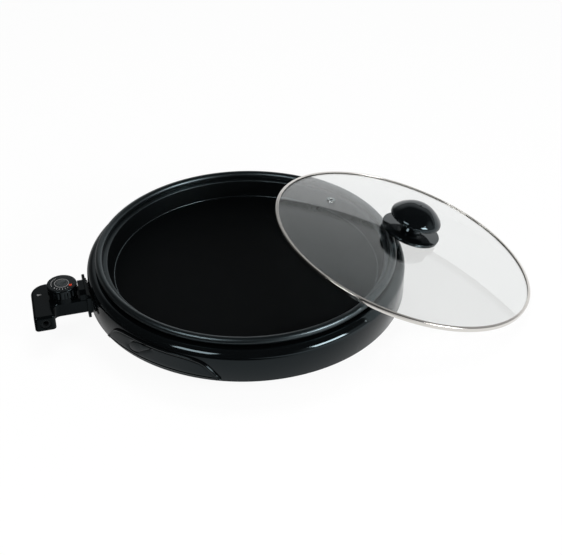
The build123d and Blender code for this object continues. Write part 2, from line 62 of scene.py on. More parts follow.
"""Electric griddle with its thermostat and its leaning glass lid: finishes, fine shapes, studio."""
import json
import logging
import math
from dataclasses import dataclass
from enum import Enum
from functools import cache
from typing import Callable, Optional, Sequence

import bmesh
import bpy
from mathutils import Matrix, Vector
from mathutils.geometry import delaunay_2d_cdt

MM = 0.001
WELD = 1e-7
ON_AXIS = 1e-6
ROUND_SHARE = 0.49
INLET_TURN = 196.0
PRINT_SUNK = 0.1
log = logging.getLogger("griddle")
Pair = tuple[float, float]
Pairs = tuple[Pair, ...]
Triple = tuple[float, float, float]
Colour = Triple
Outline = list[Pair]


class Rays(Enum):
    """Kinds of ray that the studio tells apart."""

    CAMERA = "Is Camera Ray"
    GLOSSY = "Is Glossy Ray"
    TRANSMISSION = "Is Transmission Ray"


class NodeBench:
    """Small helper that lays out the nodes of one tree."""

    def __init__(self, tree: bpy.types.NodeTree) -> None:
        """Keeps the tree and empties it."""
        self.tree = tree
        tree.nodes.clear()

    def feed(self, socket: bpy.types.NodeSocket, given: object) -> None:
        """Links a socket to another one, or sets it to a plain value.

        Args:
            socket: input socket.
            given: output socket or plain value.
        """
        if isinstance(given, bpy.types.NodeSocket):
            self.tree.links.new(given, socket)
        else:
            socket.default_value = given

    def add(self, kind: str, *first: object, **values: object) -> bpy.types.Node:
        """Adds one node.

        Args:
            kind: Blender's name of the node type.
            first: sockets or plain values for the node's first inputs, in order.
            values: node properties, or inputs by their label with spaces written as _.

        Returns:
            The new node.
        """
        node = self.tree.nodes.new(kind)
        for key, value in values.items():
            if hasattr(node, key):
                setattr(node, key, value)
            else:
                self.feed(node.inputs[key.replace("_", " ")], value)
        for socket, given in zip(node.inputs, first):
            self.feed(socket, given)
        return node

    def mix(
        self, share: bpy.types.NodeSocket, low: object, high: object, colour: bool = False
    ) -> bpy.types.NodeSocket:
        """Mixes two values.

        Args:
            share: socket with the share of the second value.
            low: socket or number where the share is 0, or a plain colour.
            high: socket or number where the share is 1, or a plain colour.
            colour: True for colours, False for numbers.

        Returns:
            The socket with the mixed value.
        """
        node = self.add("ShaderNodeMix", share, data_type="RGBA" if colour else "FLOAT")
        # The node keeps its sockets for numbers and for colours side by side.
        start, result = (6, 2) if colour else (2, 0)
        for socket, given in zip(node.inputs[start:start + 2], (low, high)):
            self.feed(socket, (*given, 1) if colour else given)
        return node.outputs[result]

    def sum(self, operation: str, *values: object) -> bpy.types.NodeSocket:
        """Combines sockets or plain numbers one after the other.

        Args:
            operation: Blender's name of the operation.
            values: sockets or numbers.

        Returns:
            The socket with the result.
        """
        total = values[0]
        for value in values[1:]:
            total = self.add("ShaderNodeMath", total, value, operation=operation).outputs[0]
        return total

    def fade(
        self, value: bpy.types.NodeSocket, ends: Sequence[float], levels: Sequence[float] = (0.0, 1.0)
    ) -> bpy.types.NodeSocket:
        """Lets a value pass softly from one level to another.

        Args:
            value: socket that drives it.
            ends: where the passage starts and ends.
            levels: levels before and after it.

        Returns:
            The socket with the level.
        """
        node = self.add("ShaderNodeMapRange", value, *ends, *levels, interpolation_type="SMOOTHSTEP")
        return node.outputs[0]

    def noise(self, place: bpy.types.NodeSocket, scale: float, detail: float) -> bpy.types.NodeSocket:
        """Gives the level of a noise at a place."""
        return self.add("ShaderNodeTexNoise", Vector=place, Scale=scale, Detail=detail).outputs["Fac"]

    def rays(self, *kinds: Rays) -> bpy.types.NodeSocket:
        """Gives 1 for these kinds of ray and 0 for the rest."""
        path = self.add("ShaderNodeLightPath")
        return self.sum("MAXIMUM", *[path.outputs[kind.value] for kind in kinds])


@dataclass(frozen=True)
class Finish:
    """Surface of one material: two close tones, a range of gloss and a fine grain."""

    name: str
    tone: Colour
    tone_worn: Colour
    rough: float
    rough_worn: float
    grain: float = 900.0
    dent: float = 0.05
    metal: float = 0.0
    shine: float = 0.5
    patch: float = 35.0
    glint: Colour = (0.72, 0.92, 1.0)
    dent_deep: float = 0.0002

    def build(self) -> bpy.types.Material:
        """Makes the material.

        Returns:
            The finished material.
        """
        material = bpy.data.materials.new(self.name)
        material.use_nodes = True
        bench = NodeBench(material.node_tree)
        surface = bench.add("ShaderNodeBsdfPrincipled", Metallic=self.metal, Specular_IOR_Level=self.shine)
        surface.inputs["Specular Tint"].default_value = (*self.glint, 1)
        bench.add("ShaderNodeOutputMaterial", surface.outputs[0])
        self.shade(bench, surface)
        material.diffuse_color = (*self.tone, 1)
        return material

    def shade(self, bench: NodeBench, surface: bpy.types.Node) -> None:
        """Feeds tone, gloss and grain into the surface.

        Args:
            bench: bench of the material's tree.
            surface: the surface node.
        """
        place = bench.add("ShaderNodeTexCoord").outputs["Object"]
        speck = bench.noise(place, self.grain, 3.0)
        bump = bench.add("ShaderNodeBump", Strength=self.dent, Distance=self.dent_deep, Height=speck)
        bench.feed(surface.inputs["Base Color"], bench.mix(speck, self.tone, self.tone_worn, colour=True))
        bench.feed(surface.inputs["Normal"], bump.outputs[0])
        self.gloss(bench, surface, place)

    def gloss(self, bench: NodeBench, surface: bpy.types.Node, place: bpy.types.NodeSocket) -> None:
        """Feeds the roughness, which changes in large soft patches, into the surface.

        Args:
            bench: bench of the material's tree.
            surface: the surface node.
            place: socket with the coordinates.
        """
        rough = bench.mix(bench.noise(place, self.patch, 2.0), self.rough, self.rough_worn)
        bench.feed(surface.inputs["Roughness"], rough)


@dataclass(frozen=True)
class TwoZoneFinish(Finish):
    """Surface whose gloss changes above a height, such as a satin wall under a glossy shoulder."""

    turn_from: float = 61.0
    turn_to: float = 66.0
    rough_above: float = 0.07
    shine_above: float = 0.5

    def gloss(self, bench: NodeBench, surface: bpy.types.Node, place: bpy.types.NodeSocket) -> None:
        """Feeds roughness and shine, both changing between the two heights, into the surface.

        Args:
            bench: bench of the material's tree.
            surface: the surface node.
            place: socket with the coordinates.
        """
        below = bench.mix(bench.noise(place, self.patch, 2.0), self.rough, self.rough_worn)
        high = bench.add("ShaderNodeSeparateXYZ", place).outputs["Z"]
        rise = bench.fade(high, (self.turn_from * MM, self.turn_to * MM))
        bench.feed(surface.inputs["Specular IOR Level"], bench.mix(rise, self.shine, self.shine_above))
        bench.feed(surface.inputs["Roughness"], bench.mix(rise, below, self.rough_above))


@dataclass(frozen=True)
class GlassFinish(Finish):
    """Clear glass with a faint tint."""

    bend: float = 1.62

    def shade(self, bench: NodeBench, surface: bpy.types.Node) -> None:
        """Makes the surface clear and lets a faint wave run through its tint.

        Args:
            bench: bench of the material's tree.
            surface: the surface node.
        """
        place = bench.add("ShaderNodeTexCoord").outputs["Object"]
        cloud = bench.noise(place, self.patch, 2.0)
        bench.feed(surface.inputs["Base Color"], bench.mix(cloud, self.tone, self.tone_worn, colour=True))
        self.gloss(bench, surface, place)
        surface.inputs["Transmission Weight"].default_value = 1.0
        surface.inputs["IOR"].default_value = self.bend


def grey(level: float) -> Colour:
    """Plain grey of a level."""
    return level, level, level


# After the two tones come roughness, worn roughness, grain and dent.
COATED = ((0.0006, 0.0008, 0.0009), (0.0018, 0.0021, 0.0023))
BLACK = ((0.0010, 0.0013, 0.0015), (0.0016, 0.0019, 0.0021))
COATING = TwoZoneFinish(
    "coating", *COATED, 0.52, 0.60, 1500, 0.12, shine=0.04,
    turn_from=72.2, turn_to=73.8, rough_above=0.32, shine_above=0.9,
)
EDGE = Finish("coating_edge", *COATED, 0.20, 0.26, 1500, 0.06, shine=1.5)
HOUSING = TwoZoneFinish("housing_black", *BLACK, 0.10, 0.14, 2400, 0.02, shine=0.20)
GRIP = Finish("grip_black", *BLACK, 0.09, 0.13, 2400, 0.02, shine=0.20)
COVER = Finish(
    "cover_black", (0.006, 0.006, 0.0065), (0.011, 0.011, 0.0115), 0.45, 0.55, 1600, 0.12, shine=0.3
)
SHELL = Finish(
    "shell_black", (0.0008, 0.0011, 0.0013), (0.0014, 0.0018, 0.0020), 0.12, 0.17, 2400, 0.03, shine=0.14
)
DIAL = Finish(
    "dial_black", (0.0008, 0.0010, 0.0012), (0.0016, 0.0019, 0.0021), 0.16, 0.22, 2400, 0.04, shine=0.30
)
CENTRE = Finish("dial_grey", (0.022, 0.025, 0.026), (0.034, 0.037, 0.038), 0.30, 0.36, 2400, 0.04, shine=0.3)
WHITE_INK = Finish("ink_white", grey(0.19), grey(0.14), 0.45, 0.55, 3000, 0.02, shine=0.2)
NUMBER_INK = Finish("ink_bright", grey(0.36), grey(0.30), 0.45, 0.55, 3000, 0.02, shine=0.2)
RED_INK = Finish("ink_red", (0.42, 0.035, 0.010), (0.34, 0.025, 0.008), 0.35, 0.45, 3000, 0.02, shine=0.2)
KNOB = Finish(
    "knob_black", (0.0014, 0.0018, 0.0021), (0.0020, 0.0024, 0.0027), 0.02, 0.04, 2400, 0.004, shine=0.5
)
RUBBER = Finish("rubber", grey(0.003), grey(0.006), 0.72, 0.85, 1400, 0.2, shine=0.2)
GASKET = Finish("gasket", (0.45, 0.45, 0.43), (0.52, 0.52, 0.50), 0.45, 0.55, 1400, 0.05)
STEEL = Finish(
    "band_steel", (0.62, 0.60, 0.57), (0.74, 0.72, 0.69), 0.12, 0.20, 700, 0.03, metal=1.0, glint=grey(1.0)
)
SCREW = Finish("screw_steel", (0.42, 0.42, 0.41), (0.55, 0.55, 0.54), 0.28, 0.38, 1200, 0.06, metal=1.0)
SHIELD = Finish("shield_steel", (0.46, 0.46, 0.45), (0.56, 0.56, 0.55), 0.34, 0.46, 500, 0.05, metal=1.0)
TUBE = Finish("tube_steel", (0.20, 0.19, 0.18), (0.30, 0.27, 0.24), 0.36, 0.50, 300, 0.08, metal=1.0)
CONTACT = Finish("contact_metal", (0.66, 0.55, 0.34), (0.74, 0.63, 0.42), 0.22, 0.32, 900, 0.04, metal=1.0)
CERAMIC = Finish("ceramic", (0.62, 0.58, 0.50), (0.70, 0.66, 0.58), 0.50, 0.60, 1100, 0.1)
GLASS = GlassFinish(
    "clear_glass", (0.825, 0.838, 0.834), (0.845, 0.858, 0.854), 0.0, 0.0, patch=6.0, glint=(0.9, 0.98, 1.0)
)

SLOT_FINISH: dict[str, Finish] = {
    "nonstick_pan": COATING,
    "element_steel": TUBE,
    "contact_metal": CONTACT,
    "shield_steel": SHIELD,
    "screw_steel": SCREW,
    "housing_plastic": HOUSING,
    "cover_plastic": COVER,
    "pad_rubber": RUBBER,
    "shell_plastic": SHELL,
    "block_ceramic": CERAMIC,
    "dial_plastic": DIAL,
    "lid_glass": GLASS,
    "band_steel": STEEL,
    "gasket_rubber": GASKET,
    "knob_plastic": KNOB,
}


@cache
def material_of(finish: Finish) -> bpy.types.Material:
    """Material of a finish, made once and handed out again."""
    return finish.build()


@dataclass(frozen=True)
class Corner:
    """Corner of a turned outline: distance from the axis, height and rounding, in millimetres."""

    r: float
    z: float
    soft: float = 0.0


def rounded(corners: Sequence[Corner], steps: int = 6) -> Outline:
    """Rounds the corners of a closed outline.

    Args:
        corners: the corners in order.
        steps: pieces per rounded corner.

    Returns:
        The points of the rounded outline.
    """
    made: Outline = []
    for i, corner in enumerate(corners):
        here = Vector((corner.r, corner.z))
        if corner.soft <= 0:
            made.append((corner.r, corner.z))
            continue
        before, after = corners[i - 1], corners[(i + 1) % len(corners)]
        back = Vector((before.r, before.z)) - here
        on = Vector((after.r, after.z)) - here
        half = back.angle(on) / 2
        reach = min(corner.soft / math.tan(half), ROUND_SHARE * back.length, ROUND_SHARE * on.length)
        start = here + back.normalized() * reach
        centre = here + (back.normalized() + on.normalized()).normalized() * (reach / math.cos(half))
        end = here + on.normalized() * reach
        from_turn = math.atan2(start.y - centre.y, start.x - centre.x)
        sweep = math.atan2(end.y - centre.y, end.x - centre.x) - from_turn
        sweep = (sweep + math.pi) % (2 * math.pi) - math.pi
        radius = (start - centre).length
        for k in range(steps + 1):
            turn = from_turn + sweep * k / steps
            made.append((centre.x + radius * math.cos(turn), centre.y + radius * math.sin(turn)))
    return made


def arc_points(start: Sequence[float], middle: Sequence[float], end: Sequence[float], steps: int) -> Outline:
    """Points on the arc through three points, without the last one.

    Args:
        start: first point.
        middle: point on the arc.
        end: last point.
        steps: pieces of the arc.

    Returns:
        The points from the first one up to just before the last one.
    """
    (ax, ay), (bx, by), (cx, cy) = start, middle, end
    d = 2 * (ax * (by - cy) + bx * (cy - ay) + cx * (ay - by))
    a2, b2, c2 = ax * ax + ay * ay, bx * bx + by * by, cx * cx + cy * cy
    ux = (a2 * (by - cy) + b2 * (cy - ay) + c2 * (ay - by)) / d
    uy = (a2 * (cx - bx) + b2 * (ax - cx) + c2 * (bx - ax)) / d
    first = math.atan2(ay - uy, ax - ux)
    mid = (math.atan2(by - uy, bx - ux) - first) % (2 * math.pi)
    last = (math.atan2(cy - uy, cx - ux) - first) % (2 * math.pi)
    sweep = last if mid < last else last - 2 * math.pi
    radius = math.hypot(ax - ux, ay - uy)
    turns = [first + sweep * k / steps for k in range(steps)]
    return [(ux + radius * math.cos(t), uy + radius * math.sin(t)) for t in turns]


def flowing(points: Sequence[Pair], steps: int) -> Outline:
    """Smooth open curve through points.

    Args:
        points: points to pass through.
        steps: pieces between two points.

    Returns:
        The points of the curve.
    """
    spots = [Vector(point) for point in points]
    spots = [spots[0] * 2 - spots[1], *spots, spots[-1] * 2 - spots[-2]]
    made: Outline = []
    for a, b, c, d in zip(spots, spots[1:], spots[2:], spots[3:]):
        square, cube = 2 * a - 5 * b + 4 * c - d, 3 * b - a - 3 * c + d
        for k in range(steps):
            t = k / steps
            p = 0.5 * (2 * b + (c - a) * t + square * t**2 + cube * t**3)
            made.append((p.x, p.y))
    return [*made, tuple(points[-1])]


def turned(
    outline: Sequence[Pair],
    segments: int,
    place: Optional[Matrix] = None,
    shape: Optional[Callable[[float, float, float], float]] = None,
) -> bpy.types.Mesh:
    """Closed mesh turned from an outline round its own Z axis.

    Args:
        outline: closed outline of distance and height, in millimetres.
        segments: pieces round the axis.
        place: frame of the axis, in metres.
        shape: gives the distance from the turn, distance and height, for flutes.

    Returns:
        The mesh, in metres.
    """
    bm = bmesh.new()
    rings: list[list[bmesh.types.BMVert]] = []
    for r, z in outline:
        if r < ON_AXIS:
            rings.append([bm.verts.new((0, 0, z * MM))])
            continue
        ring = []
        for k in range(segments):
            turn = 2 * math.pi * k / segments
            reach = shape(turn, r, z) if shape else r
            ring.append(bm.verts.new((reach * MM * math.cos(turn), reach * MM * math.sin(turn), z * MM)))
        rings.append(ring)
    for low, high in zip(rings, rings[1:] + rings[:1]):
        for k in range(segments):
            n = (k + 1) % segments
            if len(low) > 1 and len(high) > 1:
                bm.faces.new((low[k], low[n], high[n], high[k]))
            elif len(low) > 1:
                bm.faces.new((low[k], low[n], high[0]))
            elif len(high) > 1:
                bm.faces.new((low[0], high[n], high[k]))
    return to_mesh(bm, place)


def lofted(layers: Sequence[Sequence[Triple]], place: Matrix) -> bpy.types.Mesh:
    """Closed mesh through loops of equally many points, with flat ends.

    Args:
        layers: the loops in order, in millimetres.
        place: their frame, in metres.

    Returns:
        The mesh, in metres.
    """
    bm = bmesh.new()
    rings = [[bm.verts.new((x * MM, y * MM, z * MM)) for x, y, z in layer] for layer in layers]
    for low, high in zip(rings, rings[1:]):
        for k in range(len(low)):
            n = (k + 1) % len(low)
            bm.faces.new((low[k], low[n], high[n], high[k]))
    bm.faces.new(rings[-1])
    bm.faces.new(rings[0][::-1])
    return to_mesh(bm, place)


def to_mesh(bm: bmesh.types.BMesh, place: Optional[Matrix] = None) -> bpy.types.Mesh:
    """Turns a working mesh into a plain one with its faces outward.

    Args:
        bm: working mesh, freed here.
        place: right-handed frame to put it in.

    Returns:
        The plain mesh.
    """
    bmesh.ops.recalc_face_normals(bm, faces=bm.faces)
    mesh = bpy.data.meshes.new("shape")
    bm.to_mesh(mesh)
    bm.free()
    if place is not None:
        mesh.transform(place)
    return mesh


def block(size: Sequence[float], place: Optional[Matrix] = None) -> bpy.types.Mesh:
    """Plain block, centred in its frame.

    Args:
        size: lengths in millimetres.
        place: its frame, in metres.

    Returns:
        The mesh.
    """
    bm = bmesh.new()
    bmesh.ops.create_cube(bm, size=1.0)
    bmesh.ops.scale(bm, vec=Vector(size) * MM, verts=bm.verts)
    return to_mesh(bm, place)


def evaluated(piece: bpy.types.Object) -> bpy.types.Mesh:
    """Plain mesh of an object as its modifiers or its text leave it."""
    return bpy.data.meshes.new_from_object(piece.evaluated_get(bpy.context.evaluated_depsgraph_get()))


def cut(mesh: bpy.types.Mesh, tool: bpy.types.Mesh) -> bpy.types.Mesh:
    """Takes one mesh away from another.

    Args:
        mesh: what stays.
        tool: what is taken away.

    Returns:
        The cut mesh.
    """
    body = bpy.data.objects.new("body", mesh)
    taken = bpy.data.objects.new("taken", tool)
    for part in (body, taken):
        bpy.context.scene.collection.objects.link(part)
    step = body.modifiers.new("cut", "BOOLEAN")
    step.operation, step.solver, step.object = "DIFFERENCE", "EXACT", taken
    made = evaluated(body)
    for part in (body, taken):
        bpy.data.objects.remove(part)
    return made


def joined(meshes: Sequence[bpy.types.Mesh]) -> bpy.types.Mesh:
    """Puts several meshes into one.

    Args:
        meshes: the meshes.

    Returns:
        One mesh with all of them.
    """
    bm = bmesh.new()
    for mesh in meshes:
        bm.from_mesh(mesh)
    made = bpy.data.meshes.new("joined")
    bm.to_mesh(made)
    bm.free()
    return made


def add_piece(
    name: str,
    mesh: bpy.types.Mesh,
    finish: Finish,
    node: Optional[str] = None,
    body: Optional[str] = None,
    crease: float = 35.0,
) -> None:
    """Adds one finished piece to the object.

    Args:
        name: name of the piece.
        mesh: its mesh, in place.
        finish: its finish.
        node: drawn part that it stands for, if any.
        body: moving body that it rides on, if it stands for no drawn part.
        crease: edges sharper than this many degrees stay sharp.
    """
    mesh.name = name
    mesh.shade_smooth()
    mesh.set_sharp_from_angle(angle=math.radians(crease))
    mesh.materials.clear()
    mesh.materials.append(material_of(finish))
    piece = bpy.data.objects.new(name, mesh)
    bpy.context.scene.collection.objects.link(piece)
    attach(piece, body or body_of(frame["nodes"][node])[0])
    if node:
        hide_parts(node)
    log.info("%s: %d faces", name, len(mesh.polygons))


def raised(high: float) -> Matrix:
    """Frame at a height in millimetres above the origin."""
    return Matrix.Translation((0, 0, high * MM))


def outward(turn: float, reach: float = 0.0, high: float = 0.0) -> Matrix:
    """Upright frame whose first axis points away from the middle of the pan.

    Args:
        turn: direction of the first axis, in degrees from +X.
        reach: distance of the frame's origin from the middle, in millimetres.
        high: height of the frame's origin, in millimetres.

    Returns:
        The matrix, in metres.
    """
    return Matrix.Rotation(math.radians(turn), 4, "Z") @ Matrix.Translation((reach * MM, 0, high * MM))


@dataclass(frozen=True)
class RingArray:
    """Copies of one shape on an arc, made with geometry nodes."""

    count: int
    radius: float
    start: float = 0.0
    step: float = 0.0

    sockets = {
        "Count": "NodeSocketInt",
        "Radius": "NodeSocketFloat",
        "Start": "NodeSocketFloat",
        "Step": "NodeSocketFloat",
        "Shape": "NodeSocketObject",
        "Finish": "NodeSocketMaterial",
    }

    def tree(self) -> bpy.types.NodeTree:
        """Makes the node tree.

        Returns:
            The tree with the inputs Count, Radius, Start, Step, Shape and Finish.
        """
        tree = bpy.data.node_groups.new("ring_array", "GeometryNodeTree")
        for label, kind in self.sockets.items():
            tree.interface.new_socket(label, in_out="INPUT", socket_type=kind)
        tree.interface.new_socket("Geometry", in_out="OUTPUT", socket_type="NodeSocketGeometry")
        bench = NodeBench(tree)
        given = bench.add("NodeGroupInput").outputs
        index = bench.add("GeometryNodeInputIndex").outputs[0]
        turn = bench.add("ShaderNodeMath", index, given["Step"], given["Start"], operation="MULTIPLY_ADD")
        waves = [bench.add("ShaderNodeMath", turn.outputs[0], operation=wave) for wave in ("COSINE", "SINE")]
        spot = [bench.sum("MULTIPLY", wave.outputs[0], given["Radius"]) for wave in waves]
        spot = bench.add("ShaderNodeCombineXYZ", *spot)
        facing = bench.add("ShaderNodeCombineXYZ", Z=turn.outputs[0])
        points = bench.add("GeometryNodePoints", given["Count"], spot.outputs[0])
        shape = bench.add("GeometryNodeObjectInfo", Object=given["Shape"])
        copies = bench.add("GeometryNodeInstanceOnPoints", points.outputs[0], Rotation=facing.outputs[0])
        bench.feed(copies.inputs["Instance"], shape.outputs["Geometry"])
        real = bench.add("GeometryNodeRealizeInstances", copies.outputs[0])
        paint = bench.add("GeometryNodeSetMaterial", real.outputs[0], Material=given["Finish"])
        bench.add("NodeGroupOutput", paint.outputs[0])
        return tree

    def build(self, shape: bpy.types.Mesh, finish: Finish, place: Matrix) -> bpy.types.Mesh:
        """Makes the copies as one plain mesh.

        Args:
            shape: mesh of one copy, in metres, pointing along +X.
            finish: finish of the copies.
            place: frame of the arc.

        Returns:
            One mesh with all copies.
        """
        one = bpy.data.objects.new("one", shape)
        host = bpy.data.objects.new("host", bpy.data.meshes.new("host"))
        for part in (one, host):
            bpy.context.scene.collection.objects.link(part)
        tree = self.tree()
        step = host.modifiers.new("copies", "NODES")
        step.node_group = tree
        start, gap = math.radians(self.start), math.radians(self.step or 360.0 / self.count)
        values = (self.count, self.radius * MM, start, gap, one, material_of(finish))
        for label, value in zip(self.sockets, values):
            step[tree.interface.items_tree[label].identifier] = value
        made = evaluated(host)
        host.modifiers.clear()
        for part in (one, host):
            bpy.data.objects.remove(part)
        bpy.data.node_groups.remove(tree)
        made.transform(place)
        return made


@dataclass
class Pan:
    """Coated pan with a flat floor, a lid ledge and a rolled rim."""

    floor_r: float = 171.0
    floor_high: float = 51.3
    under_high: float = 47.0
    ledge_r: float = 178.4
    ledge_high: float = 74.0
    ledge_thick: float = 3.5
    bead_r: float = 188.5
    bead_high: float = 78.0
    bead_thick: float = 5.0
    bead_foot: float = 3.15
    ledge_over: float = 3.2
    floor_over: float = 4.2
    stud_r: float = 60.0
    boss_r: float = 7.0
    boss_high: float = 3.5
    boss_drop: float = 3.0
    edge_thick: float = 0.9
    edge_rise: float = 1.2
    segments: int = 288

    def rim(self) -> Outline:
        """Points of the rolled rim from the ledge over the top to the outside.

        Returns:
            The points in order.
        """
        start, end = math.radians(231.0), math.radians(-90.0)
        turns = [start + (end - start) * k / 26 for k in range(27)]
        return [
            (self.bead_r + self.bead_thick * math.cos(t), self.bead_high + self.bead_thick * math.sin(t))
            for t in turns
        ]

    def build(self) -> None:
        """Turns the pan with its stud bosses and the fine edge round its floor."""
        foot_r, web = self.bead_r - self.bead_foot, self.ledge_high - self.ledge_thick
        inside = [
            Corner(0, self.under_high), Corner(0, self.floor_high),
            Corner(self.floor_r, self.floor_high, 4.0), Corner(self.ledge_r, self.ledge_high, 1.4),
            Corner(foot_r, self.ledge_high, 0.4), Corner(foot_r, self.ledge_high + 0.11),
        ]
        below = [
            Corner(self.bead_r, self.bead_high - self.bead_thick), Corner(self.bead_r, web),
            Corner(self.ledge_r + self.ledge_over, web, 1.0),
            Corner(self.floor_r + self.floor_over, self.under_high, 5.0), Corner(0, self.under_high),
        ]
        outline = [*rounded(inside, 8)[1:-1], *self.rim(), *rounded(below, 6)[1:]]
        boss_r, high = self.boss_r, self.boss_high
        boss = rounded([Corner(0, high), Corner(0, 0), Corner(boss_r, 0, 0.6), Corner(boss_r, high)], 4)
        place = raised(self.under_high - self.boss_drop)
        bosses = RingArray(4, self.stud_r).build(turned(boss, 40), COATING, place)
        mesh = joined([turned(outline, self.segments), bosses])
        add_piece("pan_coated", mesh, COATING, node="griddle_pan")
        turns = [math.radians(15 * k) for k in range(24)]
        middle, thick = self.floor_high + self.edge_rise, self.edge_thick
        edge = [(self.floor_r + thick * math.sin(t), middle + thick * math.cos(t)) for t in turns]
        add_piece("floor_edge", turned(edge, self.segments), EDGE, body="base")


@dataclass
class Housing:
    """Black plastic housing with a satin wall and a glossy shoulder."""

    pan: Pan
    low: float = 29.7
    wall_high: float = 61.5
    shoulder_high: float = 71.3
    wall_r: float = 205.0
    wall_thick: float = 2.3
    window_out: float = 200.0
    window_high: float = 44.6
    window_size: Triple = (30.0, 40.6, 16.6)

    def build(self) -> None:
        """Turns the housing and cuts the window of the socket."""
        wall, low, shoulder, top = self.wall_r, self.low, self.wall_high, self.shoulder_high
        bead, ledge, inside = self.pan.bead_r, self.pan.ledge_high, self.wall_r - self.wall_thick
        outline = [
            (inside, low), (wall - 0.6, low), (wall, low + 0.2), (wall + 0.3, low + 0.9),
            *arc_points((wall, shoulder), (wall - 2.9, shoulder + 6.9), (wall - 10, top), 14),
            (wall - 10, top), (bead + 1.6, top), (bead + 1.0, top - 0.2), (bead + 0.8, top - 0.6),
            (bead + 0.8, ledge - 3.7), (bead - 4.5, ledge - 3.7), (bead - 4.5, ledge - 6.2),
            *arc_points((wall - 10.4, ledge - 6.2), (wall - 5, shoulder + 5.3), (wall - 2.6, shoulder), 8),
            (wall - 2.6, shoulder), (inside, low + 4),
            (wall - 9, low + 4), (wall - 9, low + 2.2), (inside, low + 2.2),
        ]
        window = block(self.window_size, outward(INLET_TURN, self.window_out, self.window_high))
        mesh = cut(turned(outline, self.pan.segments), window)
        add_piece("housing_wall", mesh, HOUSING, node="housing_ring")


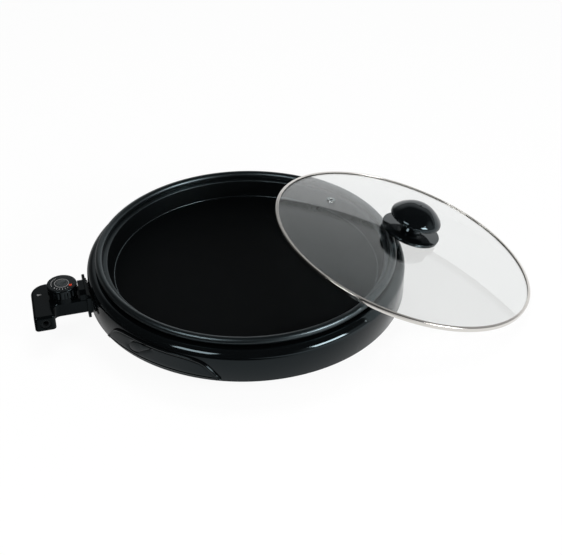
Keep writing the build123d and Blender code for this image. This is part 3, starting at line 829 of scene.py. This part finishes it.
@dataclass
class Handle:
    """Arched grip panel with a rolled edge and a leaf-shaped finger opening.

    It is laid out flat, by the distance along the wall and the height, and then bent round the wall.
    """

    name: str
    node: str
    turn: float
    inner: float = 205.4
    outer: float = 207.8
    leaf_turn: float = -5.7
    plain: float = 2.1
    mesh_step: float = 4.0
    mesh_long: float = 175.0
    mesh_low: float = 37.0
    mesh_rise: float = 2.6
    mesh_rows: int = 9
    edge_clear: float = 5.4
    leaf_clear: float = 2.0

    arch_side: Pairs = (
        (23.5, 33.2), (21.9, 40.5), (20.4, 47.0), (18.8, 52.5),
        (17.0, 56.6), (14.2, 59.4), (10.5, 61.0), (5.0, 61.5),
    )
    arch_top: Pair = (0.0, 61.6)
    arch_foot: Pair = (0.0, 35.0)
    leaf_top: Pairs = ((19, 57.2), (8, 58), (-4, 57), (-12.5, 53), (-18, 46.5))
    leaf_low: Pairs = ((-18, 46.5), (-15.5, 41.6), (-10, 40.3), (-3, 42.3), (5, 48), (19, 57.2))
    edge_relief: Pairs = (
        (0.0, 0.9), (0.12, 1.5), (0.4, 2.0), (0.8, 2.3), (1.3, 2.4),
        (1.8, 2.25), (2.3, 1.85), (2.9, 1.75), (3.6, 2.0), (4.4, 2.1),
    )
    leaf_relief: Pairs = ((0.0, 1.1), (0.15, 1.6), (0.5, 2.0), (1.0, 2.15))

    @staticmethod
    def moved(loop: Outline, by: float, least: float = 0.6) -> Outline:
        """Loop moved to its left by a distance.

        Args:
            loop: closed loop.
            by: distance in millimetres.
            least: limits how far a sharp corner runs out.

        Returns:
            The moved loop.
        """
        made: Outline = []
        for i, here in enumerate(loop):
            before, after = Vector(loop[i - 1]), Vector(loop[(i + 1) % len(loop)])
            a, b = (Vector(here) - before).normalized(), (after - Vector(here)).normalized()
            side = Vector((-a.y - b.y, a.x + b.x)).normalized()
            stretch = max(least, side.dot(Vector((-a.y, a.x))))
            made.append(tuple(Vector(here) + side * (by / stretch)))
        return made

    def along(self, turn: float) -> float:
        """Distance along the wall of a turn from the panel's middle."""
        return self.outer * math.sin(math.radians(turn))

    def loops(self) -> tuple[Outline, Outline]:
        """Lays out the panel's edges, both running so that the panel is on their left.

        Returns:
            The outer loop and the loop of the finger opening.
        """
        sides = [*((-turn, high) for turn, high in self.arch_side), self.arch_top, *self.arch_side[::-1]]
        top = flowing([(self.along(turn), high) for turn, high in sides], 7)
        low = arc_points(top[-1], self.arch_foot, top[0], 48)
        leaf = [*flowing(self.leaf_top, 8)[:-1], *flowing(self.leaf_low, 8)[:-1]]
        shift = self.along(self.leaf_turn)
        return [*top[:-1], *low][::-1], [(x + shift, z) for x, z in leaf]

    def build(self) -> None:
        """Fills the panel between its loops and bends it round the wall."""
        outer, leaf = self.loops()
        spots: Outline = []
        lift: list[float] = []
        edges: list[tuple[int, int]] = []
        loops: list[range] = []
        for loop, relief in ((outer, self.edge_relief), (leaf, self.leaf_relief)):
            for by, up in relief:
                ring = range(len(spots), len(spots) + len(loop))
                spots += self.moved(loop, by)
                lift += [up] * len(loop)
                edges += list(zip(ring, [*ring[1:], ring[0]]))
                loops.append(ring)
        start = min(x for x, _ in outer)
        for i in range(int(self.mesh_long / self.mesh_step)):
            for k in range(self.mesh_rows):
                spot = (start + self.mesh_step * i, self.mesh_low + self.mesh_rise * k)
                if self.clear(spot, outer, leaf):
                    spots.append(spot)
                    lift.append(self.plain)
        verts, _, faces, source, _, _ = delaunay_2d_cdt([Vector(p) for p in spots], edges, [], 1, 1e-6)
        leaf_loop = set(loops[len(self.edge_relief)])
        heights = [lift[s[0]] if s else self.plain for s in source]
        inside = [bool(s) and s[0] in leaf_loop for s in source]
        bm = bmesh.new()
        front = [bm.verts.new(self.bent(v, self.inner + up)) for v, up in zip(verts, heights)]
        back = [bm.verts.new(self.bent(v, self.inner)) for v in verts]
        for face in faces:
            if all(inside[k] for k in face):
                continue
            bm.faces.new([front[k] for k in face])
            bm.faces.new([back[k] for k in reversed(face)])
        ahead, twin = set(front), dict(zip(front, back))
        for edge in [e for e in bm.edges if len(e.link_faces) == 1 and e.verts[0] in ahead]:
            a, b = edge.verts
            bm.faces.new((a, b, twin[b], twin[a]))
        bmesh.ops.delete(bm, geom=[v for v in bm.verts if not v.link_faces], context="VERTS")
        mesh = to_mesh(bm, outward(self.turn))
        add_piece(self.name, mesh, GRIP, node=self.node, crease=50)

    @staticmethod
    def bent(spot: Vector, radius: float) -> Triple:
        """Point of the flat panel on a wall of this radius, in metres: outward, along the wall and up."""
        return math.sqrt(radius**2 - spot.x**2) * MM, spot.x * MM, spot.y * MM

    def clear(self, spot: Pair, outer: Outline, leaf: Outline) -> bool:
        """True where a point lies on the panel and well clear of both loops.

        Args:
            spot: the point.
            outer: the panel's outer loop.
            leaf: loop of the finger opening.

        Returns:
            Whether the point is clear.
        """
        def crossings(loop: Outline) -> int:
            """Counts the loop's edges to the right of the point.

            Args:
                loop: closed loop.

            Returns:
                The number of edges.
            """
            hits = 0
            for (ax, ay), (bx, by) in zip(loop, [*loop[1:], loop[0]]):
                if (ay > spot[1]) != (by > spot[1]):
                    hits += spot[0] < ax + (spot[1] - ay) * (bx - ax) / (by - ay)
            return hits

        far = min(math.dist(spot, p) for p in outer) > self.edge_clear
        far = far and min(math.dist(spot, p) for p in leaf) > self.leaf_clear
        return far and crossings(outer) % 2 == 1 and crossings(leaf) % 2 == 0


@dataclass(frozen=True)
class ScrewShape:
    """Pan-head screw with a cross recess, head down, shank up."""

    head_r: float
    head_high: float
    shank_r: float
    shank_long: float
    cross: float
    cross_high: float = 2.2

    def build(self) -> bpy.types.Mesh:
        """Turns the screw and cuts the cross.

        Returns:
            The mesh of one screw.
        """
        top = self.head_high + self.shank_long
        outline = [
            Corner(0, top), Corner(0, 0), Corner(self.head_r, 0, self.head_high * 0.6),
            Corner(self.head_r, self.head_high, 0.2), Corner(self.shank_r, self.head_high),
            Corner(self.shank_r, top - 1, 0.3), Corner(self.shank_r * 0.6, top),
        ]
        mesh = turned(rounded(outline, 5), 40)
        long, wide = self.cross, self.cross * 0.2
        for size in ((long, wide, self.cross_high), (wide, long, self.cross_high)):
            mesh = cut(mesh, block(size))
        return mesh


@dataclass
class Underside:
    """Rubber pads and cover screws under the griddle."""

    pan: Pan
    foot_r: float = 128.0
    cover_low: float = 16.0
    pad_high: float = 4.0
    groove: float = 0.6
    screw: ScrewShape = ScrewShape(head_r=3.6, head_high=2.2, shank_r=1.5, shank_long=12.0, cross=4.6)

    def build(self) -> None:
        """Makes the ridged pads and the screws."""
        pad = [
            Corner(0, self.pad_high), Corner(0, self.groove), Corner(2.4, self.groove, 0.2),
            Corner(2.8, 0.0, 0.2), Corner(4.2, 0.0, 0.2), Corner(4.6, self.groove, 0.2),
            Corner(5.6, self.groove, 0.2), Corner(6.0, 0.0, 0.2), Corner(8.1, 0.0, 0.4),
            Corner(8.5, 0.7, 0.4), Corner(8.5, self.pad_high),
        ]
        one = turned(rounded(pad, 3), 48)
        rings = [RingArray(4, self.foot_r, 45), RingArray(1, 0.0, 45)]
        pads = [ring.build(one.copy(), RUBBER, Matrix.Identity(4)) for ring in rings]
        add_piece("pads_ridged", joined(pads), RUBBER, node="foot_pads")
        heads = raised(self.cover_low - self.screw.head_high)
        screws = RingArray(4, self.pan.stud_r).build(self.screw.build(), SCREW, heads)
        add_piece("cover_screws_cross", screws, SCREW, node="cover_screws")


@dataclass
class Dial:
    """Fluted dial with a printed scale, a grip bar and a red mark."""

    out: float = 238.0
    low: float = 58.8
    high: float = 71.0
    radius: float = 18.7
    hub_r: float = 6.5
    bore_r: float = 3.0
    bore_top: float = 66.8
    flutes: int = 20
    flute_top: float = 2.2
    flute_run: float = 2.0
    flute_deep: float = 0.75
    flute_wall: float = 1.2
    wall: float = 2.0
    face_thick: float = 2.6
    bar_long: float = 15.0
    bar_wide: float = 4.2
    bar_high: float = 2.0
    bar_turn: float = 35.0
    disc_r: float = 7.4
    number_count: int = 6
    number_r: float = 12.5
    number_size: float = 3.3
    number_thick: float = 0.06
    number_first: float = 121.0
    number_step: float = 16.5
    mark_r: float = 2.1
    mark_out: float = 11.9
    mark_turn: float = 148.0

    ring: Pairs = ((8.3, -PRINT_SUNK), (8.3, 0.3), (9.2, 0.3), (9.2, -PRINT_SUNK))
    arc: RingArray = RingArray(34, 13.2, start=-64, step=2.4)
    arc_dash: Triple = (0.9, 0.56, 0.2)
    ticks: RingArray = RingArray(25, 15.4, start=-45, step=11.25)
    tick_dash: Triple = (1.3, 0.4, 0.2)

    def frame(self, high: float = 0.0) -> Matrix:
        """Frame of the dial at a height."""
        return outward(INLET_TURN, self.out, high)

    def flute(self, turn: float, r: float, z: float) -> float:
        """Distance from the axis, smaller in the flutes of the drum.

        Args:
            turn: turn round the axis, in radians.
            r: distance without flutes.
            z: height.

        Returns:
            The distance with flutes.
        """
        top = self.high - self.flute_top
        if r < self.radius - self.flute_wall or z > top:
            return r
        wave = 0.5 + 0.5 * math.cos(self.flutes * turn)
        return r - self.flute_deep * wave**2 * min(1.0, (top - z) / self.flute_run)

    def build(self) -> None:
        """Turns the drum and adds the grip bar."""
        skirt, face_low = self.radius - self.wall, self.high - self.face_thick
        drum = [
            Corner(0, self.bore_top), Corner(0, self.high), Corner(self.radius, self.high, 1.4),
            *(Corner(self.radius, self.high - drop) for drop in (self.flute_top, 3.2, 4.2, 6.0)),
            Corner(self.radius, self.low, 0.3), Corner(skirt, self.low, 0.3), Corner(skirt, face_low),
            Corner(self.hub_r, face_low), Corner(self.hub_r, self.low),
            Corner(self.bore_r, self.low), Corner(self.bore_r, self.bore_top),
        ]
        mesh = turned(rounded(drum, 6), 240, self.frame(), self.flute)
        add_piece("dial_drum", mesh, DIAL, node="dial", crease=40)
        add_piece("dial_bar", self.bar(), CENTRE, body="dial", crease=60)

    def bar(self) -> bpy.types.Mesh:
        """Rounded grip bar across the dial.

        Returns:
            The mesh.
        """
        half, rest, top = self.bar_wide / 2, (self.bar_long - self.bar_wide) / 2, self.bar_high
        turns = [math.radians(-90 + 10 * k) for k in range(19)]
        plan = [(rest + half * math.cos(t), half * math.sin(t)) for t in turns]
        plan += [(-x, -y) for x, y in plan]
        layers = []
        for shrink, z in ((0.0, -0.3), (0.0, top - 0.9), (0.12, top - 0.45), (0.4, top - 0.12), (0.9, top)):
            keep = 1 - shrink / half
            cores = [max(-rest, min(rest, x)) for x, _ in plan]
            layers.append([(core + (x - core) * keep, y * keep, z) for core, (x, y) in zip(cores, plan)])
        return lofted(layers, self.frame(self.high) @ Matrix.Rotation(math.radians(self.bar_turn), 4, "Z"))

    @staticmethod
    def button(radius: float, high: float, soft: float, steps: int) -> Outline:
        """Outline of a low round button.

        Args:
            radius: its radius.
            high: its height above the face.
            soft: rounding of its edge.
            steps: pieces of the rounding.

        Returns:
            The points of the outline.
        """
        middle = [Corner(0, -PRINT_SUNK), Corner(0, high)]
        return rounded([*middle, Corner(radius, high, soft), Corner(radius, -PRINT_SUNK)], steps)

    def dress(self) -> None:
        """Prints the centre disc, a ring, an arc, the ticks, the numbers and the red mark."""
        face = self.frame(self.high)
        disc = turned(self.button(self.disc_r, 0.12, 0.1, 3), 96, face)
        arc = self.arc.build(block(self.arc_dash), WHITE_INK, face)
        ticks = self.ticks.build(block(self.tick_dash), CENTRE, face)
        spot = face @ outward(self.mark_turn, self.mark_out)
        mark = turned(self.button(self.mark_r, 0.35, 0.2, 4), 40, spot)
        for name, mesh, finish in (
            ("dial_centre", disc, CENTRE),
            ("dial_scale", joined([turned(self.ring, 120, face), arc]), WHITE_INK),
            ("dial_ticks", ticks, CENTRE),
            ("dial_numbers", self.numbers(face), NUMBER_INK),
            ("dial_mark", mark, RED_INK),
        ):
            add_piece(name, mesh, finish, body="dial")

    def numbers(self, face: Matrix) -> bpy.types.Mesh:
        """Numbers along the scale, from 1 up.

        Args:
            face: frame of the dial's top.

        Returns:
            One mesh with all numbers.
        """
        made = []
        for k in range(self.number_count):
            text = bpy.data.curves.new("number", "FONT")
            text.body = str(k + 1)
            text.size = self.number_size * MM
            text.extrude = self.number_thick * MM
            text.align_x, text.align_y = "CENTER", "CENTER"
            piece = bpy.data.objects.new("number", text)
            bpy.context.scene.collection.objects.link(piece)
            bm = bmesh.new()
            bm.from_mesh(evaluated(piece))
            bmesh.ops.remove_doubles(bm, verts=bm.verts, dist=WELD)
            bpy.data.objects.remove(piece)
            spot = outward(self.number_first - self.number_step * k, self.number_r, self.number_thick)
            made.append(to_mesh(bm, face @ spot @ Matrix.Rotation(math.radians(90), 4, "Z")))
        return joined(made)


@dataclass
class Thermostat:
    """Screws and pointer mark of the plug-in thermostat; its shells keep their drawn shape."""

    shell_low: float = 31.5
    shell_high: float = 52.5
    screw_in: float = 0.6
    mark_high: float = 0.12
    screw: ScrewShape = ScrewShape(head_r=2.7, head_high=1.9, shank_r=1.45, shank_long=14.0, cross=3.6)
    spots: Pairs = ((250.0, -11.5), (250.0, 10.5), (266.0, -19.0))
    mark: Pairs = ((269.8, -11.0), (269.6, -6.2), (263.5, -8.6))

    def dress(self) -> None:
        """Prints the mark that points from the elbow to the dial."""
        layers = [[(x, y, z) for x, y in self.mark] for z in (-PRINT_SUNK, self.mark_high)]
        mesh = lofted(layers, outward(INLET_TURN, 0, self.shell_high))
        add_piece("pointer_mark", mesh, WHITE_INK, body="controller")

    def build(self) -> None:
        """Sets the three shell screws."""
        inlet = outward(INLET_TURN, 0, self.shell_low + self.screw_in)
        one = self.screw.build()
        screws = []
        for x, y in self.spots:
            place = inlet @ Matrix.Translation((x * MM, y * MM, 0))
            screws.append(RingArray(1, 0.0).build(one.copy(), SCREW, place))
        add_piece("shell_screws_cross", joined(screws), SCREW, node="shell_screws")


@dataclass
class Lid:
    """Domed glass lid with a rolled steel band, a steam eyelet and a mushroom knob."""

    turn: float = 9.8
    tilt: float = 18.15
    out: float = 211.3
    high: float = 59.15
    outer_r: float = 179.4
    rim_r: float = 177.5
    band_in: float = 175.5
    dome_in: float = 849.0
    thick: float = 3.5
    apex_in: float = 16.6
    middle_r: float = 3.0
    vent_x: float = -94.9
    vent_y: float = 63.15
    vent_r: float = 4.0
    eyelet_in: float = 2.4
    eyelet_neck: float = 3.8
    eyelet_r: float = 5.6
    seat: float = 0.8
    bore_r: float = 2.2
    base_top: float = 27.6
    segments: int = 288

    def frame(self) -> Matrix:
        """Leaning frame of the lid: down the slope, along the table and square to the band."""
        return outward(self.turn, self.out, self.high) @ Matrix.Rotation(math.radians(self.tilt), 4, "Y")

    def dome(self, radius: float, reach: float) -> float:
        """Height of a dome surface at a distance from the middle."""
        return math.sqrt(radius**2 - reach**2) + self.apex_in - self.dome_in

    def vent(self) -> Matrix:
        """Frame of the eyelet, square to the outside of the dome.

        Returns:
            The matrix, in metres.
        """
        reach = math.hypot(self.vent_x, self.vent_y)
        outside = self.dome_in + self.thick
        up = Vector((self.vent_x, self.vent_y, math.sqrt(outside**2 - reach**2))).normalized()
        across = Vector((0, 1, 0)).cross(up).normalized()
        spot = Vector((self.vent_x, self.vent_y, self.dome(outside, reach))) * MM
        facing = Matrix((across, up.cross(across), up)).transposed().to_4x4()
        return self.frame() @ Matrix.Translation(spot) @ facing

    def build(self) -> None:
        """Turns the glass, the band and the eyelet."""
        place, vent, outside = self.frame(), self.vent(), self.dome_in + self.thick
        steps = [self.middle_r + (self.rim_r - self.middle_r) * k / 40 for k in range(41)]
        glass = [(r, self.dome(outside, r)) for r in steps]
        glass += [(r, self.dome(self.dome_in, r)) for r in steps[::-1]]
        hole = turned([(0, 5), (0, -10), (self.vent_r, -10), (self.vent_r, 5)], 48, vent)
        mesh = cut(turned(glass, self.segments, place), hole)
        add_piece("lid_glass_clear", mesh, GLASS, node="lid_glass", crease=40)
        seam = self.rim_r + 0.6
        band = [
            Corner(self.band_in, 2.5), Corner(seam, 1.9), Corner(seam, -2.3), Corner(self.band_in, -2.2),
            Corner(self.band_in, -3.0, 0.3), Corner(self.outer_r - 0.3, -3.1, 0.9),
            Corner(self.outer_r, 2.9, 1.2), Corner(self.band_in, 3.3, 0.4),
        ]
        mesh = turned(rounded(band, 6), self.segments, place)
        add_piece("band_rolled", mesh, STEEL, node="lid_band")
        near, far, under, wide = 0.15, 0.95, -self.thick, self.eyelet_r
        eyelet = [
            Corner(self.eyelet_in, far, 0.6), Corner(wide, far, 0.5), Corner(wide, near, 0.1),
            Corner(self.eyelet_neck, near), Corner(self.eyelet_neck, under - near),
            Corner(wide, under - near, 0.1), Corner(wide, under - far, 0.5),
            Corner(self.eyelet_in, under - far, 0.6),
        ]
        mesh = turned(rounded(eyelet, 5), 64, vent)
        add_piece("eyelet_rolled", mesh, SCREW, node="vent_eyelet")

    def dress(self) -> None:
        """Turns the finger guard and the knob."""
        place, bore, top = self.frame(), self.bore_r, self.base_top
        apex = self.apex_in + self.thick + self.seat
        edge = [
            Corner(37.6, 22.3), Corner(38.8, 22.5, 0.5), Corner(39.4, 27.0, 0.5),
            Corner(17, 27.0, 0.3), Corner(15, top, 0.3), Corner(bore, top),
        ]
        base = [
            (bore, top),
            (bore, apex),
            *flowing(((12, apex), (16, apex), (29, 21.5), (37.6, 22.3)), 8)[:-1],
            *rounded(edge)[:-1],
        ]
        add_piece("knob_guard", turned(base, 160, place), KNOB, node="knob_base")
        cap = [
            (0, 43),
            (bore, 43),
            (bore, top),
            *flowing(((13.5, top), (11.6, 33), (14.5, 38), (24, 40.8), (32.4, 41.8)), 8)[:-1],
            *arc_points((32.4, 41.8), (33.6, 42.1), (34.2, 43), 6)[:-1],
            *arc_points((34.2, 43), (33.9, 46.6), (32.2, 49.5), 10)[:-1],
            *flowing(((32.2, 49.5), (29, 52.9), (24, 57), (17, 61.2), (9, 63.6), (0, 64.2)), 10),
        ]
        add_piece("knob_mushroom", turned(cap, 160, place), KNOB, node="knob_cap", crease=60)


@dataclass(frozen=True)
class Lamp:
    """Soft box: where it stands, its size and its power."""

    name: str
    spot: Triple
    wide: float
    tall: float
    power: float
    mirrored: bool = True

    def build(self, aim: Vector) -> None:
        """Hangs the soft box facing a point.

        Args:
            aim: point it faces.
        """
        light = bpy.data.lights.new(self.name, "AREA")
        light.shape, light.size, light.size_y, light.energy = "RECTANGLE", self.wide, self.tall, self.power
        lamp = bpy.data.objects.new(self.name, light)
        lamp.location = self.spot
        lamp.visible_glossy = self.mirrored
        lamp.rotation_euler = (aim - Vector(self.spot)).to_track_quat("-Z", "Y").to_euler()
        bpy.context.scene.collection.objects.link(lamp)


@dataclass
class Studio:
    """Camera, pale floor, surroundings and soft boxes; pairs say where a change starts and ends."""

    eye: Triple = (0.04541, -1.215719, 0.910650)
    look_down: float = 35.84
    lens: float = 73.01
    floor_share: float = 0.93
    floor_tone: float = 0.82
    floor_dim: float = 0.02
    ambient: float = 0.42
    dark: float = 0.03
    side_glow: float = 0.40
    left_dim: float = 0.78
    left_tent: float = 0.12
    steepest: float = 0.05

    dim_ring: Pair = (0.295, 0.325)
    dim_right: Pair = (0.05, 0.35)
    dim_back: Pair = (0.10, 0.30)
    dim_left: Pair = (-0.26, -0.06)
    glow_top: Pair = (0.40, 0.62)
    glow_side: Pair = (0.45, 0.75)
    tent_front: Pair = (-0.05, 0.25)
    tent_left: Pair = (-0.55, -0.2)
    tent: Pairs = (
        (0.0, 1.0), (0.384, 1.0), (0.390, 0.03), (0.418, 0.03),
        (0.470, 0.46), (0.84, 0.40), (1.28, 0.05), (2.5, 0.05),
    )
    aim: Triple = (0.02, -0.1, 0.06)
    boxes: tuple[Lamp, ...] = (
        Lamp("left_box", (-0.83, -1.17, 1.22), 0.75, 0.60, 11.0),
        Lamp("right_box", (1.40, -0.97, 0.78), 0.72, 0.52, 24.0),
        Lamp("top_box", (0.1, 0.5, 2.0), 1.0, 0.6, 16.0, mirrored=False),
    )

    def camera(self) -> None:
        """Sets the camera of the photographed view."""
        data = bpy.data.cameras.new("camera")
        data.sensor_width, data.lens, data.clip_start, data.clip_end = 36.0, self.lens, 0.01, 50.0
        camera = bpy.data.objects.new("camera", data)
        camera.location = self.eye
        camera.rotation_euler = (math.radians(90 - self.look_down), 0, 0)
        bpy.context.scene.collection.objects.link(camera)
        bpy.context.scene.camera = camera

    def floor(self) -> None:
        """Lays the pale floor: white to the camera, shadowed, and dim where the room is dark."""
        bm = bmesh.new()
        bmesh.ops.create_grid(bm, x_segments=8, y_segments=8, size=6.0)
        floor = bpy.data.objects.new("floor", to_mesh(bm))
        material = bpy.data.materials.new("pale_floor")
        material.use_nodes = True
        bench = NodeBench(material.node_tree)
        place = bench.add("ShaderNodeTexCoord").outputs["Object"]
        split = bench.add("ShaderNodeSeparateXYZ", place).outputs
        reach = bench.add("ShaderNodeVectorMath", place, operation="LENGTH").outputs["Value"]
        dim = bench.sum(
            "MULTIPLY",
            bench.fade(reach, self.dim_ring),
            bench.fade(split["X"], self.dim_right, (1.0, 0.0)),
            bench.fade(split["Y"], self.dim_back, (1.0, 0.0)),
        )
        dim = bench.sum("MAXIMUM", dim, bench.fade(split["X"], self.dim_left, (self.left_dim, 0.0)))
        mirrored = bench.rays(Rays.GLOSSY)
        shaded = bench.sum("MULTIPLY", mirrored, dim)
        bright = bench.sum("SUBTRACT", mirrored, shaded)
        seen = bench.sum("MAXIMUM", bench.rays(Rays.CAMERA, Rays.TRANSMISSION), bright)
        tone = bench.mix(shaded, grey(self.floor_tone), grey(self.floor_dim), colour=True)
        matt = bench.add("ShaderNodeBsdfDiffuse", Color=tone)
        glow = bench.add("ShaderNodeEmission", Color=(1, 1, 1, 1), Strength=1.0)
        share = bench.sum("MULTIPLY", seen, self.floor_share)
        mix = bench.add("ShaderNodeMixShader", share, matt.outputs[0], glow.outputs[0])
        bench.add("ShaderNodeOutputMaterial", mix.outputs[0])
        floor.data.materials.append(material)
        bpy.context.scene.collection.objects.link(floor)

    def surroundings(self) -> None:
        """Makes the surroundings: a light tent behind, a dim room in front, and even plain light."""
        world = bpy.data.worlds.new("surroundings")
        world.use_nodes = True
        bpy.context.scene.world = world
        bench = NodeBench(world.node_tree)
        place = bench.add("ShaderNodeTexCoord").outputs["Generated"]
        split = bench.add("ShaderNodeSeparateXYZ", place).outputs
        away = bench.sum("MAXIMUM", split["Y"], self.steepest)
        rise = bench.sum("DIVIDE", split["Z"], away, self.tent[-1][0])
        tent = bench.add("ShaderNodeValToRGB", rise)
        steps = tent.color_ramp.elements
        while len(steps) < len(self.tent):
            steps.new(1.0)
        for step, (high, level) in zip(steps, self.tent):
            step.position = high / self.tent[-1][0]
            step.color = (*grey(level), 1)
        side = bench.fade(split["Z"], self.glow_top, (self.side_glow, self.dark))
        front = bench.mix(bench.fade(split["X"], self.glow_side), self.dark, side)
        left = bench.fade(split["X"], self.tent_left, (self.left_tent, 1.0))
        behind = bench.sum("MULTIPLY", bench.fade(split["Y"], self.tent_front), left)
        mirrored = bench.mix(behind, front, tent.outputs[0])
        level = bench.mix(bench.rays(Rays.GLOSSY), self.ambient, mirrored)
        level = bench.mix(bench.rays(Rays.CAMERA, Rays.TRANSMISSION), level, 1.0)
        sky = bench.add("ShaderNodeBackground", Color=(1, 1, 1, 1), Strength=level)
        bench.add("ShaderNodeOutputWorld", sky.outputs[0])

    def build(self) -> None:
        """Sets up the whole studio."""
        self.camera()
        self.floor()
        self.surroundings()
        for box in self.boxes:
            box.build(Vector(self.aim))
        bpy.context.scene.view_settings.view_transform = "Standard"


def dress_drawn_parts() -> None:
    """Gives every drawn part its finish."""
    slots = {part["node"]: part["material_slot"] for part in frame["record"]["subparts"]}
    for name, part in frame["nodes"].items():
        finish = GRIP if name.startswith("handle") else SLOT_FINISH[slots[name]]
        part.data.materials.clear()
        part.data.materials.append(material_of(finish))


def main() -> None:
    """Builds the griddle."""
    logging.basicConfig(level=logging.INFO, format="%(message)s")
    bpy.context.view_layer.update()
    Studio().build()
    dress_drawn_parts()
    pan = Pan()
    pan.build()
    Housing(pan).build()
    for handle in (Handle("grip_front", "handle_front", 239.45), Handle("grip_back", "handle_back", 59.45)):
        handle.build()
    Underside(pan).build()
    thermostat = Thermostat()
    thermostat.build()
    thermostat.dress()
    dial = Dial()
    dial.build()
    dial.dress()
    lid = Lid()
    lid.build()
    lid.dress()


if __name__ == "__main__":
    main()
